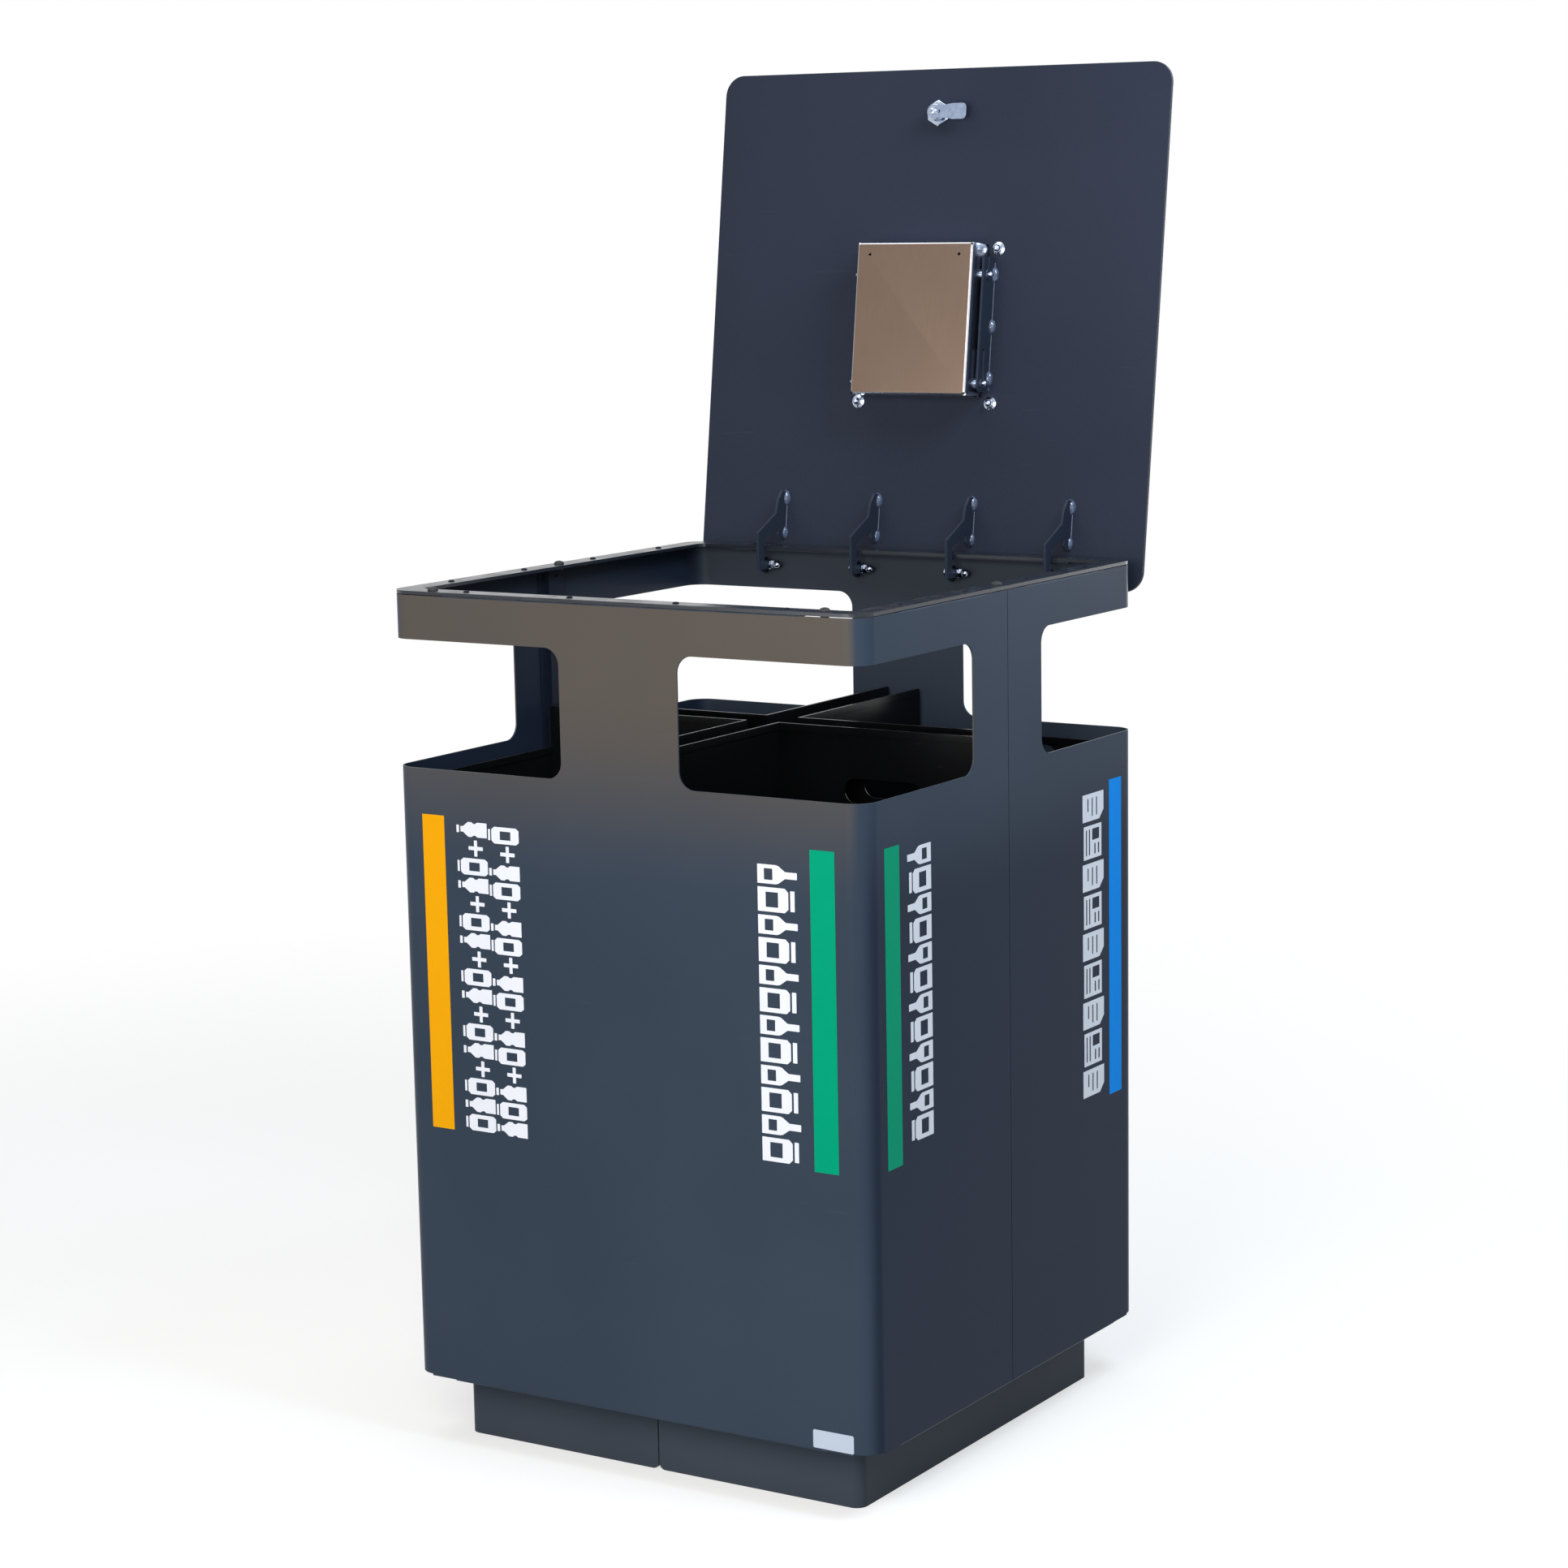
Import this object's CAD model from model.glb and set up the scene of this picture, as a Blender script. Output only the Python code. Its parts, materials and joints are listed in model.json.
# %% [markdown]
# # A recycling bin for four kinds of waste
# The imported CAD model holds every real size: two bent sheets round a square body, four lift-out
# bins, a steel lid with an ashtray and a cam lock. It could be rebuilt here, but then two models
# would have to agree. So it is loaded as a fixed frame, and each piece below is fitted to it.

# %% Load the frame
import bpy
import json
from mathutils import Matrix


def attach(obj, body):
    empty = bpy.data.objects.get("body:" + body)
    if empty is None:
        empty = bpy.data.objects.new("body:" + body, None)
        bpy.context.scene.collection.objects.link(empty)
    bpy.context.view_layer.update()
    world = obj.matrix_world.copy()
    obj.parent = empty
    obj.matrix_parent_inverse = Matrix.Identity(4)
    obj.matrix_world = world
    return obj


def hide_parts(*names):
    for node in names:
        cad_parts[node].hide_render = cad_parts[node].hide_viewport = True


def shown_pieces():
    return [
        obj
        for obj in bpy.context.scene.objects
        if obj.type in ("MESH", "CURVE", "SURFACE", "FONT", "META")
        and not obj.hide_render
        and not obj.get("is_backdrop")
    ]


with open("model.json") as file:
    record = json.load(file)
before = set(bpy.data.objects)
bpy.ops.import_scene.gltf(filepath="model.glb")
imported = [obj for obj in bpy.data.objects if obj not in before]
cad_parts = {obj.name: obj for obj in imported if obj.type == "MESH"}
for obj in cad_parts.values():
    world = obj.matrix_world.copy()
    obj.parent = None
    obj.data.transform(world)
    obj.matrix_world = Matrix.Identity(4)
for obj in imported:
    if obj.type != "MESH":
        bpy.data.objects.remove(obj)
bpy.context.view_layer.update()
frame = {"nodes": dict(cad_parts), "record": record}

# %% [markdown]
# ## Tools for modelling by hand
# Blender's operators act on whatever is selected, and the loaded CAD nodes all are. So every step
# starts by selecting one piece only. Faces, edges or corners are then picked by their place, which
# does the same as clicking on them, but gives the same result on each run.

# %% Units and selections
import json
from math import cos, pi, radians, sin, tan

import bmesh
import bpy
from mathutils import Matrix, Vector

MM = 0.001
QUARTER = pi / 2
bodies = frame["record"]["behaviour"]["bodies"]
body_of = {node: body for body, nodes in bodies.items() for node in nodes}


def select_only(*pieces):
    bpy.ops.object.select_all(action="DESELECT")
    for piece in pieces:
        piece.select_set(True)
    bpy.context.view_layer.objects.active = pieces[0]


def start_edit(piece, kind="FACE"):
    select_only(piece)
    bpy.ops.object.mode_set(mode="EDIT")
    bpy.ops.mesh.select_mode(type=kind)
    bpy.ops.mesh.select_all(action="DESELECT")


def stop_edit():
    bpy.ops.object.mode_set(mode="OBJECT")


def pick(wanted, kind="FACE"):
    """Selects what wanted(middle, normal or direction) is true for, in edit mode, in mm."""
    piece = bpy.context.object
    mesh = bmesh.from_edit_mesh(piece.data)
    if kind == "FACE":
        found = [f for f in mesh.faces if wanted(f.calc_center_median() / MM, f.normal)]
    elif kind == "EDGE":
        ends = {e: [v.co for v in e.verts] for e in mesh.edges}
        found = [e for e, (a, b) in ends.items() if wanted((a + b) / 2 / MM, (b - a).normalized())]
    else:
        found = [v for v in mesh.verts if wanted(v.co / MM, v.normal)]
    for item in found:
        item.select_set(True)
    bmesh.update_edit_mesh(piece.data)
    return len(found)


def modify(piece, kind, **settings):
    """Adds a modifier, sets it and applies it."""
    select_only(piece)
    bpy.ops.object.modifier_add(type=kind)
    modifier = piece.modifiers[-1]
    for key, value in settings.items():
        setattr(modifier, key, value)
    bpy.ops.object.modifier_apply(modifier=modifier.name)


# %% [markdown]
# ## Camera
# The picture was taken with a long lens from the front right, a little above the rim. Its place
# was worked out from the square body's corners, so the view has the same perspective. A small
# shift keeps the object where the picture has it, without a change of perspective.

# %% Camera
camera_data = bpy.data.cameras.new("camera")
camera = bpy.data.objects.new("camera", camera_data)
bpy.context.scene.collection.objects.link(camera)
bpy.context.scene.camera = camera
EYE = Vector((2.3837, -3.7298, 1.4929))  # metres
right = (0.84729, 0.53085, -0.01716)
up = (-0.0798, 0.1591, 0.9840)
back = (0.52510, -0.83239, 0.17719)
turn = Matrix((right, up, back)).transposed().to_4x4()
camera.matrix_world = Matrix.Translation(EYE) @ turn
camera_data.sensor_width = 36
camera_data.lens = 84.87
camera_data.shift_x = -0.00785
camera_data.shift_y = 0.0447
camera_data.clip_end = 60
print("camera stands", round(EYE.length, 2), "m from the middle of the floor")

# %% [markdown]
# ## Shader tools
# A node tree is easier to read as a sum than as a web. The class below wraps a node's output, so
# that `base + 0.1 * noise` adds the Math nodes by itself. Colours and vectors go through Vector
# Math instead, because a Math node would turn a colour grey.


# %% Shader sums
class Socket:
    """The output of a node, which can be used in sums."""

    def __init__(self, finish, output):
        self.finish, self.output = finish, output

    def join(self, operation, first, second):
        inputs = [v.output.type for v in (first, second) if isinstance(v, Socket)]
        kind = "Math" if set(inputs) == {"VALUE"} else "VectorMath"
        return self.finish.node(kind, {"operation": operation}, {0: first, 1: second})

    def __add__(self, other):
        return self.join("ADD", self, other)

    def __radd__(self, other):
        return self.join("ADD", other, self)

    def __sub__(self, other):
        return self.join("SUBTRACT", self, other)

    def __rsub__(self, other):
        return self.join("SUBTRACT", other, self)

    def __mul__(self, other):
        return self.join("MULTIPLY", self, other)

    def __rmul__(self, other):
        return self.join("MULTIPLY", other, self)


def plain(red, green, blue):
    """A colour as a picture shows it, 0 to 255, turned into Blender's linear values."""
    shares = [v / 255 for v in (red, green, blue)]
    linear = [s / 12.92 if s < 0.04045 else ((s + 0.055) / 1.055) ** 2.4 for s in shares]
    return (*linear, 1)


# %% A finish is one material
class Finish:
    """A material whose nodes are added by node(), with the constants set on its shader."""

    def __init__(self, name, **constants):
        self.material = bpy.data.materials.new(name)
        self.material.use_nodes = True
        self.tree = self.material.node_tree
        self.shader = self.tree.nodes["Principled BSDF"]
        for key, value in constants.items():
            self.feed(self.shader.inputs[key.replace("_", " ")], value)
        self.place = self.node("TexCoord", output="Object")

    def feed(self, socket, value):
        if isinstance(value, Socket):
            self.tree.links.new(value.output, socket)
        elif socket.type == "VECTOR" and isinstance(value, (int, float)):
            socket.default_value = (value,) * 3
        else:
            socket.default_value = value

    def node(self, kind, settings=None, values=None, output=0):
        made = self.tree.nodes.new("ShaderNode" + kind)
        for key, value in (settings or {}).items():
            setattr(made, key, value)
        for key, value in (values or {}).items():
            self.feed(made.inputs[key], value)
        return Socket(self, made.outputs[output])

    def noise(self, scale, detail, vector=None):
        """Noise with scale bumps in a metre."""
        values = {"Vector": vector or self.place, "Scale": scale, "Detail": detail}
        return self.node("TexNoise", {}, values, "Fac")

    def stretched(self, x, y, z, turn=(0, 0, 0)):
        """The place on the piece, squeezed by these factors, for grain that runs one way."""
        values = {"Vector": self.place, "Scale": (x, y, z), "Rotation": turn}
        return self.node("Mapping", {}, values)

    def along(self, axis):
        """How far a point is along X, Y or Z, in metres: axis is 0, 1 or 2."""
        return self.node("SeparateXYZ", {}, {0: self.place}, axis)

    def step(self, value, low, high):
        """0 below low and 1 above high, with a soft slope between."""
        settings = {"interpolation_type": "SMOOTHSTEP"}
        return self.node("MapRange", settings, {0: value, 1: low, 2: high})

    def mix(self, first, second, share):
        return self.node("Mix", {"data_type": "RGBA"}, {0: share, 6: first, 7: second}, 2)

    def bump(self, height, depth, under=None):
        """A dent or swell: height from 0 to 1 is depth mm."""
        values = {"Height": height, "Distance": depth * MM, "Strength": 1}
        if under:
            values["Normal"] = under
        return self.node("Bump", {}, values)

    def upward(self):
        """1 where the surface faces up, 0 where it is upright or faces down."""
        normal = self.node("NewGeometry", output="Normal")
        height = self.node("SeparateXYZ", {}, {0: normal}, 2)
        return self.step(height, 0.5, 0.95)

    def facing(self, x, y, z):
        """The cosine between the piece's own normal and a direction."""
        normal = self.node("TexCoord", output="Normal")
        values = {0: normal, 1: (x, y, z)}
        return self.node("VectorMath", {"operation": "DOT_PRODUCT"}, values, 1)

    def show(self, **links):
        for key, value in links.items():
            self.feed(self.shader.inputs[key.replace("_", " ")], value)
        print(self.material.name, "has", len(self.tree.nodes), "nodes")
        return self.material


# %% [markdown]
# ## Powder coat
# The sheets are sprayed with dry powder that melts into a satin film. It could be one dark grey,
# but the real film has a fine orange peel, tones that drift a little over a wide panel, dust on
# what faces up and a few hairlines from cleaning. Each is a noise of its own size. The upper part
# of the wrap's front also has a thin dusty bloom that fades downwards, its other faces are a
# little darker towards the ground, and the inner side of its left wall is darkest.


# %% Powder coat
HAIRLINE, DUST = plain(112, 112, 112), plain(132, 128, 120)
BLOOM, LOW_SHADE, INNER_SHADE = plain(106, 91, 68), plain(28, 39, 56), plain(20, 27, 42)


def weathered(coat, colour, bloom):
    """The wrap's colour with its bloom in front and its shade on the sides and inside."""
    side, depth, height = (coat.along(axis) for axis in range(3))
    frontal = coat.facing(0, -1, 0)
    outer = coat.step(frontal, 0.8, 0.999) * (1 - 0.8 * coat.step(depth, -0.2, 0.2))
    pale = coat.step(height, 0.7, 0.93) * (0.8 + 0.4 * coat.noise(3, 4)) * outer
    colour = coat.mix(colour, BLOOM, bloom * pale)
    low = 1 - coat.step(height, 0.68, 0.82)
    colour = coat.mix(colour, LOW_SHADE, 0.82 * (low * (1 - coat.step(frontal, 0.2, 0.9))))
    inner = coat.step(coat.facing(1, 0, 0), 0.3, 0.9) * (1 - coat.step(side, -0.1, 0.1))
    return coat.mix(colour, INNER_SHADE, 0.8 * inner)


def powder_coat(name, light, dark, rough, peel, shine=0.04, dusty=0.12, bloom=0.0):
    coat = Finish(name, Specular_IOR_Level=shine)
    drift = coat.step(coat.noise(2.2, 3), 0.3, 0.7)
    hairs = coat.step(coat.noise(9, 6, coat.stretched(1, 1, 14, (0.5, 0.3, 0.2))), 0.7, 0.76)
    dust = coat.upward() * coat.step(coat.noise(28, 5), 0.35, 0.8)
    colour = coat.mix(dark, light, drift)
    colour = coat.mix(colour, HAIRLINE, 0.05 * hairs)
    colour = coat.mix(colour, DUST, dusty * dust)
    if bloom:
        colour = weathered(coat, colour, bloom)
    roughness = rough + 0.05 * coat.noise(160, 2) + 0.06 * hairs + 0.15 * dust
    waves = coat.bump(coat.noise(5, 1), 0.12)
    return coat.show(
        Base_Color=colour,
        Roughness=roughness,
        Normal=coat.bump(coat.noise(1100, 1), peel, waves),
    )


anthracite = powder_coat("powder_coat", plain(53, 64, 80), plain(47, 58, 73), 0.25, 0.006)
wrap_coat = powder_coat(
    "wrap_coat", plain(54, 65, 80), plain(48, 59, 73), 0.27, 0.006, dusty=0.5, bloom=0.46
)
rim_coat = powder_coat(
    "rim_coat", plain(31, 36, 45), plain(27, 32, 40), 0.2, 0.003, shine=0.42, dusty=0.03
)
plinth_coat = powder_coat("plinth_coat", plain(64, 71, 81), plain(57, 64, 74), 0.3, 0.006)
lid_coat = powder_coat("lid_coat", plain(47, 52, 66), plain(42, 47, 60), 0.25, 0.006, dusty=0.04)
arm_coat = powder_coat(
    "arm_coat", plain(45, 52, 66), plain(40, 47, 60), 0.27, 0.003, shine=0.08, dusty=0.03
)
inner_coat = powder_coat(
    "inner_coat", plain(25, 31, 44), plain(20, 26, 38), 0.3, 0.004, dusty=0.04
)
weld_coat = powder_coat(
    "weld_coat", plain(92, 104, 130), plain(66, 78, 102), 0.06, 0.01, shine=0.9
)
bin_black = powder_coat("bin_coat", plain(13, 14, 16), plain(9, 10, 12), 0.2, 0.006, shine=0.2)

# %% [markdown]
# ## Bare metal
# The ashtray is fine satin stainless sheet: a brush leaves lines that run one way. The nuts and
# the lock are zinc plated, bright, with a slight cloud. Both could share one grey metal, but the
# lines and the clouds are what tells them apart in the hand.


# %% Satin stainless
def stainless(name, light, dark, flat=None, sooty=None):
    """Brushed sheet. flat is the way that its broad side faces: its bends are rubbed bright.
    sooty is the way that its smoked side faces."""
    metal = Finish(name, Metallic=1.0)
    lines = metal.noise(60, 4, metal.stretched(60, 1, 1))
    clouds = metal.noise(9, 3)
    colour = metal.mix(dark, light, metal.step(0.6 * lines + 0.4 * clouds, 0.35, 0.65))
    prints = metal.step(metal.noise(14, 5), 0.55, 0.75)
    roughness = 0.27 + 0.12 * lines + 0.06 * prints
    if flat:
        cosine = metal.node("Math", {"operation": "ABSOLUTE"}, {0: metal.facing(*flat)})
        bends = 1 - metal.step(cosine, 0.8, 0.98)
        colour = metal.mix(colour, plain(216, 220, 230), bends)
        roughness = roughness - 0.12 * bends
    if sooty:
        soot = metal.step(metal.facing(*sooty), 0.4, 0.9)
        colour = metal.mix(colour, plain(34, 31, 29), 0.9 * soot)
    return metal.show(
        Base_Color=colour,
        Roughness=roughness,
        Normal=metal.bump(lines, 0.002),
    )


UNDER = (0, -0.991, 0.133)  # the way that the open lid's underside faces
satin_steel = stainless("stainless", plain(150, 140, 132), plain(138, 128, 120), sooty=UNDER)
tray_steel = stainless("tray_steel", plain(123, 105, 92), plain(117, 99, 87), flat=UNDER)


# %% Bright zinc
def zinc(name, light, dark):
    metal = Finish(name, Metallic=1.0)
    clouds = metal.step(metal.noise(170, 3), 0.3, 0.7)
    grime = metal.step(metal.noise(120, 4), 0.62, 0.8)
    colour = metal.mix(metal.mix(dark, light, clouds), plain(96, 92, 86), 0.12 * grime)
    return metal.show(
        Base_Color=colour,
        Roughness=0.12 + 0.04 * clouds + 0.08 * grime,
        Normal=metal.bump(metal.noise(300, 1), 0.002),
    )


bright_zinc = zinc("bright_zinc", plain(182, 192, 210), plain(168, 179, 198))
cam_zinc = zinc("cam_zinc", plain(162, 176, 200), plain(146, 160, 185))


# %% [markdown]
# ## Rubber, nylon and film
# Rubber is matt with pale bloom, nylon has a dull sheen, and the colour stripes are cut vinyl
# film: smooth, even, and slightly lifted from the coat. A plain colour would do from afar, but
# near by the bloom, the faint moulding grain and the film's soft waves make them real.


# %% Rubber and nylon
def moulded(name, light, dark, rough, grain):
    stuff = Finish(name, Specular_IOR_Level=0.35)
    bloom = stuff.step(stuff.noise(210, 5), 0.4, 0.75)
    return stuff.show(
        Base_Color=stuff.mix(dark, light, bloom),
        Roughness=rough + 0.12 * bloom,
        Normal=stuff.bump(stuff.noise(2600, 2), grain),
    )


black_rubber = moulded("rubber_black", plain(44, 45, 47), plain(27, 28, 30), 0.5, 0.02)
black_nylon = moulded("nylon_black", plain(46, 48, 52), plain(32, 34, 38), 0.34, 0.01)


# %% Vinyl film
def vinyl(name, colour, edge):
    film = Finish(name, Specular_IOR_Level=0.02)
    fade = film.step(film.noise(7, 3), 0.35, 0.75)
    specks = film.step(film.noise(520, 3), 0.68, 0.74)
    tone = film.mix(film.mix(colour, edge, 0.35 * fade), plain(90, 90, 90), 0.12 * specks)
    return film.show(
        Base_Color=tone,
        Roughness=0.3 + 0.08 * fade + 0.2 * specks,
        Normal=film.bump(film.noise(26, 3), 0.05),
    )


films = {
    "orange": vinyl("vinyl_orange", plain(226, 158, 12), plain(220, 152, 10)),
    "green": vinyl("vinyl_green", plain(2, 149, 112), plain(2, 141, 105)),
    "blue": vinyl("vinyl_blue", plain(4, 140, 234), plain(4, 132, 222)),
    "grey": vinyl("vinyl_grey", plain(150, 154, 160), plain(140, 144, 151)),
    "white": vinyl("label_white", plain(222, 226, 235), plain(210, 215, 225)),
    "plate": vinyl("plate_white", plain(186, 198, 214), plain(178, 190, 208)),
}

# %% [markdown]
# ## Bent sheet pieces
# Wrap, rim, lid, bins and plinth are cut and bent sheet, and the CAD nodes already have their
# exact form. Only their edges are too sharp: a coated sheet's edge is round and catches the light.
# So each node's mesh is copied, its loose triangles are merged into whole faces, and a bevel a
# fraction of a millimetre wide goes round every edge.


# %% Copy a node and round its edges
def finish_piece(piece, name, body, slot, coat, *nodes, angle=30):
    """Smooths a piece, gives it its coat and ties it to its body."""
    select_only(piece)
    bpy.ops.object.transform_apply(location=True, rotation=True, scale=True)
    bpy.ops.object.shade_smooth_by_angle(angle=radians(angle))
    piece.name = piece.data.name = name
    piece.data.materials.clear()
    piece.data.materials.append(coat)
    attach(piece, body)
    if nodes:
        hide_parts(*nodes)
    return piece


SAME = 0.001  # corners that are nearer than this, in mm, become one


def copy_node(node):
    piece = bpy.data.objects.new(node + "_copy", frame["nodes"][node].data.copy())
    bpy.context.scene.collection.objects.link(piece)
    start_edit(piece, "VERT")
    bpy.ops.mesh.select_all(action="SELECT")
    bpy.ops.mesh.customdata_custom_splitnormals_clear()
    bpy.ops.mesh.remove_doubles(threshold=2 * SAME * MM)
    bpy.ops.mesh.dissolve_limited(angle_limit=radians(0.4))
    stop_edit()
    return piece


def round_edges(piece, width, angle):
    """Bevels the edges that turn by more than an angle."""
    limit = {"limit_method": "ANGLE", "angle_limit": radians(angle)}
    modify(piece, "BEVEL", width=width * MM, segments=2, **limit)


def sheet_piece(node, name, edge, slot="powder_coat", coat=anthracite):
    piece = copy_node(node)
    round_edges(piece, edge, 40)
    finish_piece(piece, name, body_of[node], slot, coat, node)
    modify(piece, "WEIGHTED_NORMAL", weight=100, keep_sharp=True)
    print(name, "has", len(piece.data.polygons), "faces")
    return piece


for node, name, edge, coat in [
    ("front_shell", "wrap_front", 0.3, wrap_coat),
    ("rear_shell", "wrap_rear", 0.3, wrap_coat),
    ("top_ring", "rim_ring", 0.6, rim_coat),
    ("lid_panel", "lid_plate", 0.8, lid_coat),
    ("floor_panel", "floor_sheet", 0.5, anthracite),
    ("left_seam_channel", "channel_left", 0.4, inner_coat),
    ("right_seam_channel", "channel_right", 0.4, inner_coat),
    ("plinth_left", "plinth_half_left", 0.6, plinth_coat),
    ("plinth_right", "plinth_half_right", 0.6, plinth_coat),
    ("ashtray_bracket_left", "tray_plate_left", 0.5, arm_coat),
    ("ashtray_bracket_right", "tray_plate_right", 0.5, arm_coat),
]:
    sheet_piece(node, name, edge, coat=coat)
for number in "1234":
    sheet_piece("hinge_arm_" + number, "lid_arm_" + number, 0.6, coat=arm_coat)
    sheet_piece("hinge_ear_" + number, "rim_ear_" + number, 0.5)
for corner in ("front_left", "front_right", "rear_left", "rear_right"):
    sheet_piece("anchor_" + corner, "foot_bracket_" + corner, 0.6)
    sheet_piece("bin_" + corner, "lift_bin_" + corner, 0.3, "bin_coat", bin_black)
sheet_piece("stub_plate", "stub_sheet", 0.4, "stainless", satin_steel)

# %% [markdown]
# ## Turned pieces
# Rivet heads, bumpers, washers and bushes are round, as if made on a lathe. A cylinder with a
# bevel would be close. Spinning a drawn profile is better, because the profile shows every
# shoulder and dome at a glance. The profile is drawn point by point, by extruding a corner.


# %% Draw and spin a profile
def draw(points, closed=False):
    """Draws points (x, y, z) in mm as a chain of edges, in edit mode, and leaves it there."""
    bpy.ops.object.select_all(action="DESELECT")
    bpy.ops.mesh.primitive_plane_add(size=MM, location=(0, 0, 0))
    bpy.ops.object.mode_set(mode="EDIT")
    bpy.ops.mesh.select_mode(type="VERT")
    bpy.ops.mesh.merge(type="CENTER")
    last = Vector((0, 0, 0))
    chain = list(points) + list(points[:1]) * closed
    for number, point in enumerate(chain):
        way = (Vector(point) - last) * MM
        if number:
            bpy.ops.mesh.extrude_vertices_move(TRANSFORM_OT_translate={"value": way})
        else:
            bpy.ops.transform.translate(value=way)
        last = Vector(point)
    bpy.ops.mesh.select_all(action="SELECT")
    if closed:
        bpy.ops.mesh.remove_doubles(threshold=SAME * MM)
    return bpy.context.object


def turned(profile, steps=32, closed=False):
    """Spins a profile of (radius, height) in mm round Z. A closed one makes a ring."""
    piece = draw([(r, 0, z) for r, z in profile], closed)
    bpy.ops.mesh.spin(steps=steps, angle=2 * pi, center=(0, 0, 0), axis=(0, 0, 1))
    bpy.ops.mesh.select_all(action="SELECT")
    bpy.ops.mesh.remove_doubles(threshold=SAME * MM)
    bpy.ops.mesh.normals_make_consistent(inside=False)
    stop_edit()
    return piece


def dome(radius, height, base, count=6):
    """Profile points of a round top: out at radius, up to height on the axis."""
    angles = [QUARTER * i / count for i in range(count + 1)]
    return [(radius * cos(a), base + (height - base) * sin(a)) for a in angles]


def copies(piece, name, places, body, slot, coat, *nodes, angle=30):
    """Finishes one copy of the piece, with its own mesh, at each place."""
    for number, place in enumerate(places, 1):
        twin = bpy.data.objects.new(f"{name}_{number}", piece.data.copy())
        bpy.context.scene.collection.objects.link(twin)
        twin.data.transform(place)
        finish_piece(twin, f"{name}_{number}", body, slot, coat, *nodes, angle=angle)
    bpy.data.objects.remove(piece)
    print(name, "is made", len(places), "times")


def zinc_copies(piece, name, places, node):
    copies(piece, name, places, body_of[node], "bright_zinc", bright_zinc, node)


# %% [markdown]
# ## Rivets and bumpers
# Sixteen low rivets hold the rim ring to the wrap's flanges, and four rubber bumpers meet the lid.
# Each is spun once and copied to its places, which follow from the body's width.

# %% Rivets and bumpers
HALF, RIM_TOP = 325, 1038
RIVET_IN, RIVET_XS = 14, (-220, -73, 73, 220)
BUMPER_X = 269


def at(x, y, z):
    """The matrix that moves a piece to a place in mm."""
    return Matrix.Translation(Vector((x, y, z)) * MM)


def on_face(number, x, z, out=0):
    """A place on an upright face, counted from the front to the right, drawn along -Y."""
    return Matrix.Rotation(QUARTER * number, 4, "Z") @ at(x, -HALF - out, z)


rivet_places = [
    Matrix.Rotation(QUARTER * face, 4, "Z") @ at(x, RIVET_IN - HALF, RIM_TOP)
    for face in range(4)
    for x in RIVET_XS
]
rivet = turned(
    [(0, -8), (3.6, -8), (4, -7.6), (4, -6.2), (3.8, -6), (2.5, -6), (2.5, 0)]
    + [(3.9, 0), (4, 0.3)]
    + dome(3.7, 2, 0.5)
)
copies(rivet, "rim_rivet", rivet_places, "frame", "powder_coat", inner_coat, "ring_rivets")

bumper_places = [at(x, RIVET_IN - HALF, RIM_TOP) for x in (-BUMPER_X, BUMPER_X)]
bumper_places += [at(x, 0, RIM_TOP) for x in (RIVET_IN - HALF, HALF - RIVET_IN)]
bumper = turned(
    [(0, -7), (4.6, -7), (5, -6.6), (5, -4.2), (4.8, -4), (3.5, -4), (3.5, 0), (6, 0)]
    + [(6.25, 0.3), (6.25, 1)]
    + dome(6.1, 4.4, 1.3)
)
copies(bumper, "lid_bumper", bumper_places, "frame", "rubber_black", black_rubber, "lid_bumpers")

# %% [markdown]
# ## Nuts
# A real nut is a hexagon bar with its corners turned off at an angle, so its corners end in arcs.
# Scaling a six-sided cylinder leaves sharp corners. Here the bar is cut by a turned barrel with a
# boolean, as the lathe does, and a dome is joined on top.


# %% Cut nuts from a bar
def combine(piece, other, operation):
    modify(piece, "BOOLEAN", object=other, operation=operation, solver="EXACT")
    bpy.data.objects.remove(other)
    return piece


def hexagon(across, low, high):
    """A hexagon bar with two of its corners on the Y axis."""
    corner = across / 2 / cos(pi / 6)
    bpy.ops.object.select_all(action="DESELECT")
    bpy.ops.mesh.primitive_cylinder_add(
        vertices=6,
        radius=corner * MM,
        depth=(high - low) * MM,
        location=(0, 0, (low + high) / 2 * MM),
    )
    bar = bpy.context.object
    bpy.ops.object.transform_apply(location=True, rotation=True, scale=True)
    return bar


def nut(across, low, high, bore=0):
    """A hexagon from low to high with turned corners and perhaps a bore."""
    corner, face = across / 2 / cos(pi / 6), across / 2 * 0.97
    slope = (corner - face) * tan(pi / 6)
    foot = [(face, low), (corner, low + slope)]
    top = [(corner, high - slope), (face, high)]
    if bore:
        inner, lead_in = bore / 2, 0.4
        upper = [(inner + lead_in, high), (inner, high - lead_in)]
        lower = [(inner, low + lead_in), (inner + lead_in, low)]
        barrel = turned(foot + top + upper + lower, 48, closed=True)
    else:
        barrel = turned([(0, low)] + foot + top + [(0, high)], 48)
    return combine(hexagon(across, low, high), barrel, "INTERSECT")


def dome_nut(across, hex_high, high, flange=0, flange_high=0):
    """A closed nut that stands on z = 0, with a dome and perhaps a flange."""
    radius = across / 2 * 0.9
    neck = [(0, hex_high - 1), (radius, hex_high - 1), (radius, hex_high + 0.4)]
    cap = turned(neck + dome(radius, high, high - radius))
    whole = combine(nut(across, 0, hex_high), cap, "UNION")
    if flange:
        rim = [(0, 0), (flange / 2, 0), (flange / 2, 0.5)]
        skirt = turned(rim + [(across / 2, flange_high), (0, flange_high)])
        whole = combine(whole, skirt, "UNION")
    return whole


# %% [markdown]
# ## Hinges
# Four hinges carry the lid. On each, a bolt goes through the ear on the wrap, a bush, the arm on
# the lid, a washer and a dome nut. They stand along the hinge's axis, so each is made upright and
# then laid along X at its place.

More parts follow.
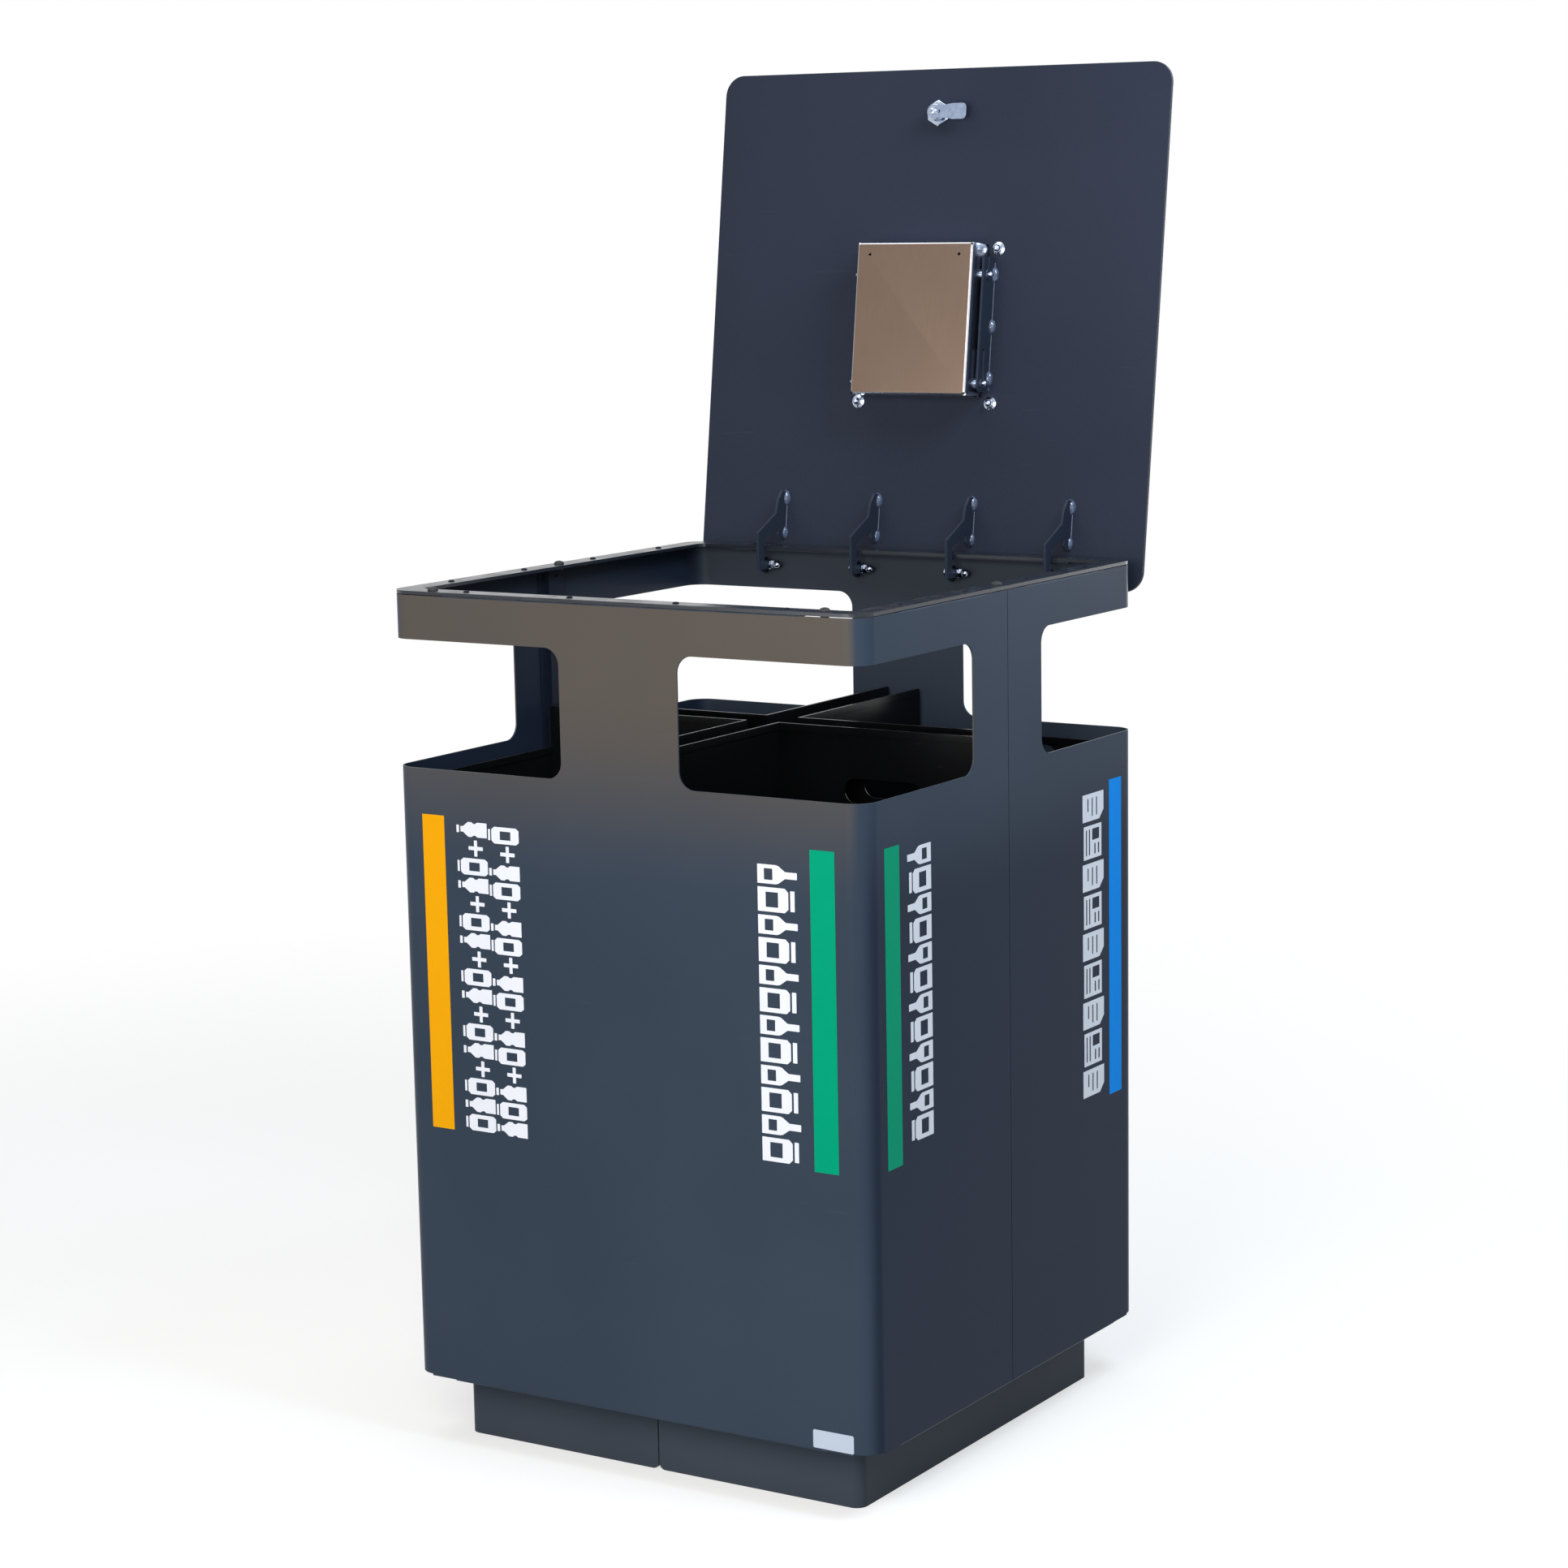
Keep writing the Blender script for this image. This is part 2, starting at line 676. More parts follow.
# %% Hinge bolts, bushes, washers and nuts
PIVOT = (311, 1013)
EAR, BUSH, ARM, WASHER, PLAY = 3, 6.9, 4, 1.5, 0.3  # widths along the axis
AXIS_X = Matrix.Rotation(QUARTER, 4, "Y")
ear_xs = [-210, -70, 70, 210]
bush_x = EAR / 2 + PLAY
washer_x = bush_x + BUSH + PLAY + ARM + PLAY


def on_axis(x):
    """Places along the hinge's axis, x mm beyond the middle of each ear."""
    return [at(ear + x, *PIVOT) @ AXIS_X for ear in ear_xs]


bolt = combine(
    nut(10, -4, 0),
    turned([(0, -0.5), (3, -0.5), (3, 19.2), (2.5, 19.8), (0, 19.8)]),
    "UNION",
)
zinc_copies(bolt, "hinge_bolt", on_axis(-EAR / 2), "hinge_bolts")
bush = turned(
    [(3.1, 0), (5.3, 0), (5.5, 0.3), (5.5, BUSH - 0.3), (5.3, BUSH), (3.1, BUSH)], closed=True
)
copies(bush, "hinge_bush", on_axis(bush_x), "frame", "nylon_black", black_nylon, "hinge_bushes")
ring = turned(
    [(3.1, 0), (6.6, 0), (6.75, 0.2), (6.75, 1.3), (6.6, WASHER), (3.1, WASHER)], closed=True
)
zinc_copies(ring, "hinge_washer", on_axis(washer_x), "hinge_washers")
cap_nut = dome_nut(10, 6, 13)
zinc_copies(cap_nut, "hinge_cap", on_axis(washer_x + WASHER), "hinge_nuts")

# %% [markdown]
# ## The open lid
# The lid's small pieces are easiest to place on the closed lid, which lies flat. One matrix then
# swings them open about the hinge's axis, by the same angle as in the CAD source.

# %% Swing the lid's pieces open
LID_UNDER, LID_THICK, OPEN_ANGLE = 1045, 5, 97.65
swing = (
    at(0, *PIVOT)
    @ Matrix.Rotation(radians(-OPEN_ANGLE), 4, "X")
    @ at(0, *PIVOT).inverted()
)
DOWN = Matrix.Rotation(pi, 4, "X")


def on_lid(x, y, depth=0, turn=DOWN):
    """A place under the closed lid, drawn downwards, swung open."""
    return swing @ at(x, y, LID_UNDER - depth) @ turn


# %% [markdown]
# ## Stub plate bolts
# Four round-headed bolts hold the stub plate on the lid's outer side, with dome nuts underneath.
# The nuts have a flange, which the picture shows as a bright disc behind each dome.

# %% Stub plate bolts and nuts
STUB, STUB_SHIFT, STUB_SHEET = 97, 1, 3
stub_places = [(sx * STUB, sy * STUB - STUB_SHIFT) for sx in (-1, 1) for sy in (-1, 1)]
stub_nut = dome_nut(10, 5, 9.5, flange=17, flange_high=2)
places = [on_lid(x, y) for x, y in stub_places]
zinc_copies(stub_nut, "stub_cap", places, "stub_nuts")
head = turned([(0, -14.4), (3, -14.4), (3, 0), (7.9, 0), (8, 0.3)] + dome(7.8, 3.5, 0.5))
places = [swing @ at(x, y, LID_UNDER + LID_THICK + STUB_SHEET) for x, y in stub_places]
zinc_copies(head, "stub_bolt", places, "stub_bolts")

# %% [markdown]
# ## Ashtray
# The ashtray is a shallow box, folded from one sheet: the walls meet at open corners with a small
# notch, and their free corners are round. A cube without its top is the start. Its upright edges
# are split and the edges at the bottom become bends. Where two bends meet, small faces are cut out
# as a relief notch. Solidify gives the sheet its thickness, and the drain holes are drilled last.

# %% Ashtray box
TRAY_W, TRAY_LEN, TRAY_Y = 168, 191, -6.5
TRAY_DEPTH, TRAY_GAP, TRAY_SHEET, TRAY_BEND = 44, 4, 1.5, 3.5
TRAY_CORNER = 7
DRAIN_X, DRAIN_END, DRAIN_R = 65, 15, 2
height = TRAY_DEPTH - TRAY_GAP
middle = LID_UNDER - TRAY_GAP - height / 2
bpy.ops.object.select_all(action="DESELECT")
bpy.ops.mesh.primitive_cube_add(size=1, location=(0, TRAY_Y * MM, middle * MM))
tray = bpy.context.object
tray.scale = (TRAY_W * MM, TRAY_LEN * MM, height * MM)
bpy.ops.object.transform_apply(location=True, rotation=True, scale=True)
start_edit(tray)
pick(lambda middle, normal: normal.z > 0.5)
bpy.ops.mesh.delete(type="FACE")
bpy.ops.mesh.select_mode(type="EDGE")
bpy.ops.mesh.select_all(action="DESELECT")
pick(lambda middle, way: abs(way.z) > 0.9, "EDGE")
bpy.ops.mesh.edge_split()
bpy.ops.mesh.select_all(action="DESELECT")
floor_z = LID_UNDER - TRAY_DEPTH
pick(lambda middle, way: abs(middle.z - floor_z) < 0.1, "EDGE")
bpy.ops.mesh.bevel(offset=TRAY_BEND * MM, segments=6, affect="EDGES")
cuts = [((side * (TRAY_W / 2 - TRAY_BEND), 0, 0), (1, 0, 0)) for side in (-1, 1)]
cuts += [((0, TRAY_Y + end * (TRAY_LEN / 2 - TRAY_BEND), 0), (0, 1, 0)) for end in (-1, 1)]
for place, way in cuts:
    bpy.ops.mesh.select_all(action="SELECT")
    bpy.ops.mesh.bisect(plane_co=Vector(place) * MM, plane_no=way)
bpy.ops.mesh.select_mode(type="FACE")
bpy.ops.mesh.select_all(action="DESELECT")


def in_notch(place, normal):
    side = TRAY_W / 2 - abs(place.x)
    end = TRAY_LEN / 2 - abs(place.y - TRAY_Y)
    return side < TRAY_BEND and end < TRAY_BEND and place.z < floor_z + TRAY_BEND


print("relief notches take out", pick(in_notch), "small faces")
bpy.ops.mesh.delete(type="FACE")
stop_edit()
print("ashtray sheet has", len(tray.data.polygons), "faces")

# %% Round the walls' free corners, drill the floor
start_edit(tray, "VERT")
rim_z = LID_UNDER - TRAY_GAP
pick(lambda place, normal: abs(place.z - rim_z) < 0.1, "VERT")
bpy.ops.mesh.bevel(offset=TRAY_CORNER * MM, segments=6, affect="VERTICES")
stop_edit()
modify(tray, "SOLIDIFY", thickness=TRAY_SHEET * MM, offset=-1)
for side in (-1, 1):
    drill = turned([(0, -60), (DRAIN_R, -60), (DRAIN_R, 60), (0, 60)], 24)
    drill.data.transform(at(side * DRAIN_X, TRAY_Y - TRAY_LEN / 2 + DRAIN_END, floor_z))
    combine(tray, drill, "DIFFERENCE")
tray.data.transform(swing)
finish_piece(tray, "tray_box", "ashtray", "stainless", tray_steel, "ashtray_box")
print("ashtray has", len(tray.data.polygons), "faces")

# %% [markdown]
# ## Studs and their nuts
# Two studs on each side of the ashtray ride in the slots of the carrier plates. A collar keeps the
# box clear of the plate, and a dome nut holds it from outside.

# %% Ashtray studs and nuts
STUD_YS = (72, -64)
STUD_DEPTH, COLLAR, PLATE, PLATE_PLAY = 17, 5.7, 3, 0.6
stud_places = []
for side in (-1, 1):
    for y in STUD_YS:
        outward = Matrix.Rotation(QUARTER * side, 4, "Y")
        stud_places.append(swing @ at(side * TRAY_W / 2, y, LID_UNDER - STUD_DEPTH) @ outward)
stud = turned(
    [(0, 0), (5.8, 0), (6, 0.2), (6, 5.5), (5.8, COLLAR), (2.5, COLLAR)]
    + [(2.5, 13), (2.1, 13.5), (0, 13.5)]
)
zinc_copies(stud, "tray_stud", stud_places, "ashtray_studs")
nut_out = at(0, 0, COLLAR + PLATE + PLATE_PLAY)
places = [place @ nut_out for place in stud_places]
stud_nut = dome_nut(8, 3.5, 7, flange=13, flange_high=1.8)
zinc_copies(stud_nut, "tray_cap", places, "ashtray_nuts")

# %% [markdown]
# ## Lock
# The lock is a threaded body held by a big hexagon nut, and a plug that turns a bent cam. The
# thread is turned as rings here, since its slope can't be seen at this size. The cam starts as a
# thin box that is extruded step by step along its bends.

# %% Lock body and nut
LOCK_Y = -269
CREST, ROOT, PITCH, THREAD_LOW = 10, 9.5, 1.5, -14
thread = []
for ring_number in range(9):
    low = THREAD_LOW + ring_number * PITCH
    thread += [(CREST, low), (ROOT, low + PITCH / 2)]
shell = turned(
    [(6.1, -14.4), (9.4, -14.4)]
    + thread
    + [(CREST, 0), (CREST, 5), (13, 5), (13, 7.2), (12.4, 8), (6.1, 8)],
    48,
    closed=True,
)
lock_place = swing @ at(0, LOCK_Y, LID_UNDER)
zinc_copies(shell, "lock_body", [lock_place], "lock_housing")
big_nut = nut(28.5, -5, 0, 20)
zinc_copies(big_nut, "lock_ring_nut", [lock_place], "lock_nut")

# %% Plug, cam, washer and screw
plug = turned([(0, -15), (5.8, -15), (6, -14.8), (6, 8.1), (5.8, 8.3), (0, 8.3)], 32)
zinc_copies(plug, "lock_core", [lock_place], "lock_plug")
CAM_T, CAM_Z, CAM_START, CAM_W, CAM_END = 3, -18, 13, 15.5, 48
bpy.ops.object.select_all(action="DESELECT")
bpy.ops.mesh.primitive_cube_add(size=1)
cam = bpy.context.object
cam.scale = (CAM_START * MM, CAM_W * MM, CAM_T * MM)
cam.location = (CAM_START / 2 * MM, 0, (CAM_Z + CAM_T / 2) * MM)
bpy.ops.object.transform_apply(location=True, rotation=True, scale=True)
start_edit(cam)
pick(lambda middle, normal: normal.x > 0.9)
cam_bends = [((1.5, 0, 0.2), 1), ((14, 0, 1.2), 1.29), ((14.5, 0, 0), 1), ((5, 0, 0), 1)]
for way, wider in cam_bends:
    bpy.ops.mesh.extrude_region_move(TRANSFORM_OT_translate={"value": Vector(way) * MM})
    bpy.ops.transform.resize(value=(1, wider, 1))
bpy.ops.mesh.select_mode(type="EDGE")
bpy.ops.mesh.select_all(action="DESELECT")
pick(lambda middle, way: middle.x > CAM_END - 0.1 and abs(way.z) > 0.9, "EDGE")
bpy.ops.mesh.bevel(offset=5 * MM, segments=2, affect="EDGES")
stop_edit()
hub = turned([(0, CAM_Z), (CAM_W / 2, CAM_Z), (CAM_W / 2, CAM_Z + CAM_T), (0, CAM_Z + CAM_T)], 48)
cam = combine(cam, hub, "UNION")
for x in (37, 41):
    for y in (-2, 2):
        dot = turned([(0, -40), (0.9, -40), (0.9, CAM_Z + 2), (0, CAM_Z + 2)], 16)
        dot.data.transform(at(x, y, 0))
        combine(cam, dot, "DIFFERENCE")
slit = turned([(0, -40), (1.2, -40), (1.2, 0), (0, 0)], 4)
longer = Matrix.Diagonal((1, 2.4, 1, 1))
slit.data.transform(at(9.8, 0, 0) @ longer @ Matrix.Rotation(QUARTER / 2, 4, "Z"))
combine(cam, slit, "DIFFERENCE")
round_edges(cam, 0.35, 50)
copies(cam, "lock_tongue", [lock_place], "lock_cam_body", "bright_zinc", cam_zinc, "lock_cam")
disc = turned(
    [(2.1, -19.2), (5.8, -19.2), (6, -19), (6, -18.1), (5.9, CAM_Z), (2.1, CAM_Z)], closed=True
)
zinc_copies(disc, "lock_disc", [lock_place], "lock_cam_washer")
SCREW_TOP = 21.4
crown = [(r, -z) for r, z in dome(4.3, SCREW_TOP, 19.8)]
screw = turned([(0, -11), (2, -11), (2, -19.2), (4.4, -19.2), (4.5, -19.5)] + crown)
for turn_by in (0, QUARTER):
    bpy.ops.object.select_all(action="DESELECT")
    bpy.ops.mesh.primitive_cube_add(
        size=1, location=(0, 0, -SCREW_TOP * MM), rotation=(0, 0, turn_by)
    )
    cross = bpy.context.object
    cross.scale = (5 * MM, MM, 2 * MM)
    combine(screw, cross, "DIFFERENCE")
zinc_copies(screw, "lock_screw", [lock_place], "lock_cam_screw")

# %% [markdown]
# ## Weld beads
# Arms and plates are welded to the lid before it is coated. The beads are lumps of melted metal
# under the same coat, and their shine gives them away. A ball is stretched and then displaced by
# a small noise, so that no two sides are alike. Thin seams run on between the beads.


# %% Weld beads
def bead(width, length, high, seed):
    """A lump on the lid. Its half inside the lid is flat, so that it can't come out behind."""
    bpy.ops.object.select_all(action="DESELECT")
    bpy.ops.mesh.primitive_uv_sphere_add(segments=32, ring_count=20, radius=1)
    lump = bpy.context.object
    lump.scale = (width / 2 * MM, length / 2 * MM, high * MM)
    bpy.ops.object.transform_apply(location=True, rotation=True, scale=True)
    start_edit(lump, "VERT")
    pick(lambda place, normal: place.z < -0.01, "VERT")
    bpy.ops.transform.resize(value=(1, 1, 0.25), center_override=(0, 0, 0))
    stop_edit()
    lump_size, swell, apart = 3.2, 1.6, 11
    texture = bpy.data.textures.new(f"melt_{seed}", "CLOUDS")
    texture.noise_scale = lump_size * MM
    lump.data.transform(at(seed * apart, 0, 0))
    modify(lump, "DISPLACE", texture=texture, strength=swell * MM, texture_coords="LOCAL")
    lump.data.transform(at(-seed * apart, 0, 0))
    return lump


# %% Places of the welds on the closed lid
ARM_SIDE, ARM_FRONT, ARM_MIDDLE, ARM_REAR = 10, 223.3, 246.3, 268.3
PLATE_SIDE, PLATE_YS = 92.5, (65.4, 0, -65.3)
weld_places = []
for ear in ear_xs:
    weld_places.append((ear + ARM_SIDE, ARM_FRONT, 15, 21, 8))
    weld_places.append((ear + ARM_SIDE + 0.5, ARM_REAR, 12, 18, 7))
weld_places += [(side * PLATE_SIDE, y, 13, 20, 6.5) for side in (-1, 1) for y in PLATE_YS]
SEAM_R = 0.7
seam_places = [(ear + ARM_SIDE + 3.2, ARM_MIDDLE, 28) for ear in ear_xs]
seam_places += [(side * (PLATE_SIDE + SEAM_R), 0, 160) for side in (-1, 1)]
for number, (x, y, length) in enumerate(seam_places, 1):
    half = length / 2
    seam = turned([(0, -half), (SEAM_R, -half), (SEAM_R, half), (0, half)], 12)
    seam.data.transform(Matrix.Rotation(QUARTER, 4, "X"))
    copies(seam, f"weld_seam_{number}", [on_lid(x, y)], "lid", "powder_coat", weld_coat)
for number, (x, y, width, length, high) in enumerate(weld_places, 1):
    lump = bead(width, length, high, number)
    copies(lump, f"weld_bead_{number}", [on_lid(x, y)], "lid", "powder_coat", weld_coat, angle=60)

# %% [markdown]
# ## Film stripes, pictograms and the plate
# Each corner carries a colour stripe for one kind of waste on both of its faces. Beside it run
# plain pictograms of what goes in, cut from white film: bottles and cans, glass, paper, and mixed
# waste. They are drawn as outlines, filled, and raised by the film's thickness.

# %% Stripes and plate
for colour in ("orange", "green", "blue", "grey"):
    node = "stripe_" + colour
    finish_piece(
        copy_node(node), "film_" + colour, body_of[node], "vinyl_" + colour, films[colour], node
    )
    print(node, "gets its film")

FILM = 0.3


def cut_film(outlines, rounding):
    """Fills outlines of (x, y) in mm, holes too, and gives them the film's thickness along Z."""
    parts = []
    for outline in outlines:
        parts.append(draw([(x, y, 0) for x, y in outline], closed=True))
        if rounding:
            bpy.ops.mesh.bevel(offset=rounding * MM, segments=3, affect="VERTICES")
        stop_edit()
    select_only(*parts)
    if len(parts) > 1:
        bpy.ops.object.join()
    film = bpy.context.object
    start_edit(film, "VERT")
    bpy.ops.mesh.select_all(action="SELECT")
    bpy.ops.mesh.fill(use_beauty=True)
    bpy.ops.mesh.select_all(action="SELECT")
    bpy.ops.mesh.normals_make_consistent(inside=False)
    bpy.ops.mesh.extrude_region_move(TRANSFORM_OT_translate={"value": (0, 0, FILM * MM)})
    bpy.ops.mesh.select_all(action="SELECT")
    bpy.ops.mesh.normals_make_consistent(inside=False)
    stop_edit()
    return film


def box(x0, y0, x1, y1):
    return [(x0, y0), (x1, y0), (x1, y1), (x0, y1)]


def mirrored(*half):
    """A whole outline from the points of its right half, from the top down."""
    return list(half) + [(-x, y) for x, y in reversed(half)]


plate = cut_film([box(245, 83.3, 299, 104.8)], 2)
upright = Matrix.Rotation(QUARTER, 4, "X")
places = [on_face(0, 0, 0) @ upright]
copies(plate, "maker_film", places, "frame", "label_white", films["plate"], "maker_plate")

# %% Pictograms
PICTURE = 12  # the pictures are drawn this high
pictures = {
    "flask": [
        mirrored((1.2, 12), (1.2, 11)),
        mirrored(
            *((0.9, 10.4), (0.9, 9.4), (2.4, 7.4), (2.4, 6)),
            *((1.9, 5.3), (1.9, 4.5), (2.4, 3.8), (2.4, 0)),
        ),
    ],
    "tin": [
        mirrored((1.8, 12), (1.8, 11.2)),
        mirrored((1.8, 10.7), (2.7, 9.6), (2.7, 1.1), (1.9, 0)),
        mirrored((1.4, 7.4), (1.4, 3.2)),
    ],
    "plus": [
        mirrored((0.6, 7.4), (0.6, 5.2), (2.6, 5.2), (2.6, 4), (0.6, 4), (0.6, 1.8)),
    ],
    "bottle": [
        mirrored((0.9, 12), (0.9, 8.4), (2.3, 6.4), (2.5, 5.6), (2.5, 0)),
        mirrored((1.5, 4.6), (1.5, 2)),
    ],
    "jar": [
        mirrored((2.7, 11.2), (2.7, 9.9)),
        mirrored((2.2, 9.3), (3.2, 8.2), (3.2, 0)),
        mirrored((2, 6.2), (2, 2.4)),
    ],
    "sheet": [
        [(-3.6, 0), (3.6, 0), (3.6, 9.2), (1.4, 11.6), (-3.6, 11.6)],
        box(-2.4, 7.4, 2.4, 8.1),
        box(-2.4, 5, 2.4, 5.7),
        box(-2.4, 2.6, 1, 3.3),
    ],
    "paper": [
        box(-4.4, 0.6, 4.4, 10.4),
        box(-3.4, 5.2, -0.4, 9.2),
        box(0.6, 8.4, 3.4, 9.2),
        box(0.6, 6.4, 3.4, 7.2),
        box(-3.4, 3.4, 3.4, 4.1),
        box(-3.4, 1.7, 3.4, 2.4),
    ],
    "sack": [
        mirrored((1.9, 12), (1, 10.2)),
        mirrored((1.1, 9.5), (3.4, 6.4), (4, 3.4), (3.4, 0.7), (2.4, 0)),
    ],
    "cup": [
        mirrored((2.6, 11.4), (3, 10.2)),
        mirrored((2.6, 9.6), (1.8, 0)),
    ],
}


def column(name, face, x, low, high, top_side, kinds, wide=44):
    """A column of pictograms that lie on their side, between two heights, in mm.
    top_side is the side that their tops point to, -1 or 1."""
    step = (high - low) / len(kinds)
    scale = wide / PICTURE
    lying = Matrix.Rotation(-QUARTER * top_side, 4, "Z")
    made = []
    for number, kind in enumerate(kinds):
        outlines = [
            [(across * scale, (up_by - PICTURE / 2) * scale) for across, up_by in line]
            for line in pictures[kind]
        ]
        film = cut_film(outlines, 0.1 * scale)
        place = on_face(face, x, high - (number + 0.5) * step)
        film.data.transform(place @ upright @ lying)
        made.append(film)
    select_only(*made)
    bpy.ops.object.join()
    finish_piece(bpy.context.object, name, "frame", "label_white", films["white"], angle=20)
    print(name, "has", len(kinds), "pictograms")


plastic = ["flask", "plus", "tin"] * 5 + ["flask", "tin"]
metal = ["tin", "plus", "flask"] * 5 + ["tin", "flask"]
glass = ["bottle", "jar"] * 6
papers = ["sheet", "paper"] * 4 + ["sheet"]
mixed = ["sack", "cup"] * 5 + ["sack"]
column("picto_plastic_front_1", 0, -213, 396, 772, -1, plastic)
column("picto_plastic_front_2", 0, -167, 394, 768, -1, metal)
column("picto_plastic_side_1", 3, 167, 394, 768, 1, metal)
column("picto_plastic_side_2", 3, 213, 396, 772, 1, plastic)
column("picto_glass_front", 0, 210, 412, 757, 1, glass, 52)
column("picto_glass_side", 1, -209, 428, 770, -1, glass, 52)
column("picto_paper_side", 1, 212, 383, 769, 1, papers, 56)
column("picto_paper_rear", 2, -212, 383, 769, -1, papers, 56)
column("picto_mixed_rear", 2, 212, 394, 769, 1, mixed, 52)
column("picto_mixed_side", 3, -212, 394, 769, -1, mixed, 52)

# %% [markdown]
# ## CAD nodes that stay
# The bolts and nuts under the floor and inside the plinth are right as they are and hardly seen.
# They keep their CAD mesh and only get the zinc finish.

# %% Finish the nodes that stay
for node, piece in frame["nodes"].items():
    if not piece.hide_render:
        piece.data.materials.clear()
        piece.data.materials.append(bright_zinc)
        print(node, "keeps its CAD mesh")

# %% [markdown]
# ## Floor, light and background
# A dark satin body shows everything around it, so the studio is made of large, soft panels. The
# world is plain white to the eye and in the metal. The floor adds some of its own white, so that
# the shadow stays soft, and it fades out before its edge can show.


# %% Floor
def empty_tree(owner):
    """The node tree of a material or a world, with nothing in it."""
    owner.use_nodes = True
    owner.node_tree.nodes.clear()
    return owner.node_tree


def link_all(tree, *pairs):
    for source, target in pairs:
        tree.links.new(source, target)


GLOW, FADE_FROM, FADE_TO, FLOOR_RADIUS = 0.55, 1.2, 3.4, 3.5
floor_stuff = bpy.data.materials.new("pale_floor")
tree = empty_tree(floor_stuff)
paint = tree.nodes.new("ShaderNodeBsdfDiffuse")
paint.inputs["Color"].default_value = (0.5, 0.5, 0.5, 1)
glow = tree.nodes.new("ShaderNodeEmission")
path = tree.nodes.new("ShaderNodeLightPath")
seen = tree.nodes.new("ShaderNodeMath")
seen.operation = "MAXIMUM"
lit = tree.nodes.new("ShaderNodeMath")
lit.operation = "MULTIPLY"
lit.inputs[1].default_value = GLOW
both = tree.nodes.new("ShaderNodeAddShader")
clear = tree.nodes.new("ShaderNodeBsdfTransparent")
fade = tree.nodes.new("ShaderNodeMixShader")
place = tree.nodes.new("ShaderNodeTexCoord")
reach = tree.nodes.new("ShaderNodeVectorMath")
reach.operation = "LENGTH"
edge = tree.nodes.new("ShaderNodeMapRange")
edge.interpolation_type = "SMOOTHSTEP"
edge.inputs["From Min"].default_value = FADE_FROM
edge.inputs["From Max"].default_value = FADE_TO
end = tree.nodes.new("ShaderNodeOutputMaterial")
link_all(
    tree,
    (path.outputs["Is Camera Ray"], seen.inputs[0]),
    (path.outputs["Is Glossy Ray"], seen.inputs[1]),
    (seen.outputs[0], lit.inputs[0]),
    (lit.outputs[0], glow.inputs["Strength"]),
    (paint.outputs[0], both.inputs[0]),
    (glow.outputs[0], both.inputs[1]),
    (place.outputs["Object"], reach.inputs[0]),
    (reach.outputs["Value"], edge.inputs["Value"]),
    (edge.outputs[0], fade.inputs[0]),
    (both.outputs[0], fade.inputs[1]),
    (clear.outputs[0], fade.inputs[2]),
    (fade.outputs[0], end.inputs["Surface"]),
)
bpy.ops.object.select_all(action="DESELECT")
bpy.ops.mesh.primitive_circle_add(vertices=64, radius=FLOOR_RADIUS, fill_type="NGON")
ground = bpy.context.object
ground.name = "studio_floor"
ground.data.materials.append(floor_stuff)
ground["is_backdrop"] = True
print("floor is", 2 * FLOOR_RADIUS, "m wide")


# %% Light panels
def panel(name, place, aim, width, high, watts, colour=(1, 1, 1)):
    """A large area light at a place in metres that faces aim, unseen by the camera."""
    data = bpy.data.lights.new(name, "AREA")
    data.shape = "RECTANGLE"
    data.size, data.size_y = width, high
    data.energy = watts
    data.color = colour
    lamp = bpy.data.objects.new(name, data)
    bpy.context.scene.collection.objects.link(lamp)
    lamp.location = place
    lamp.rotation_euler = (Vector(aim) - Vector(place)).to_track_quat("-Z", "Y").to_euler()
    lamp.visible_camera = False
    print(name, "shines with", round(watts / pi / width / high, 2), "of white")


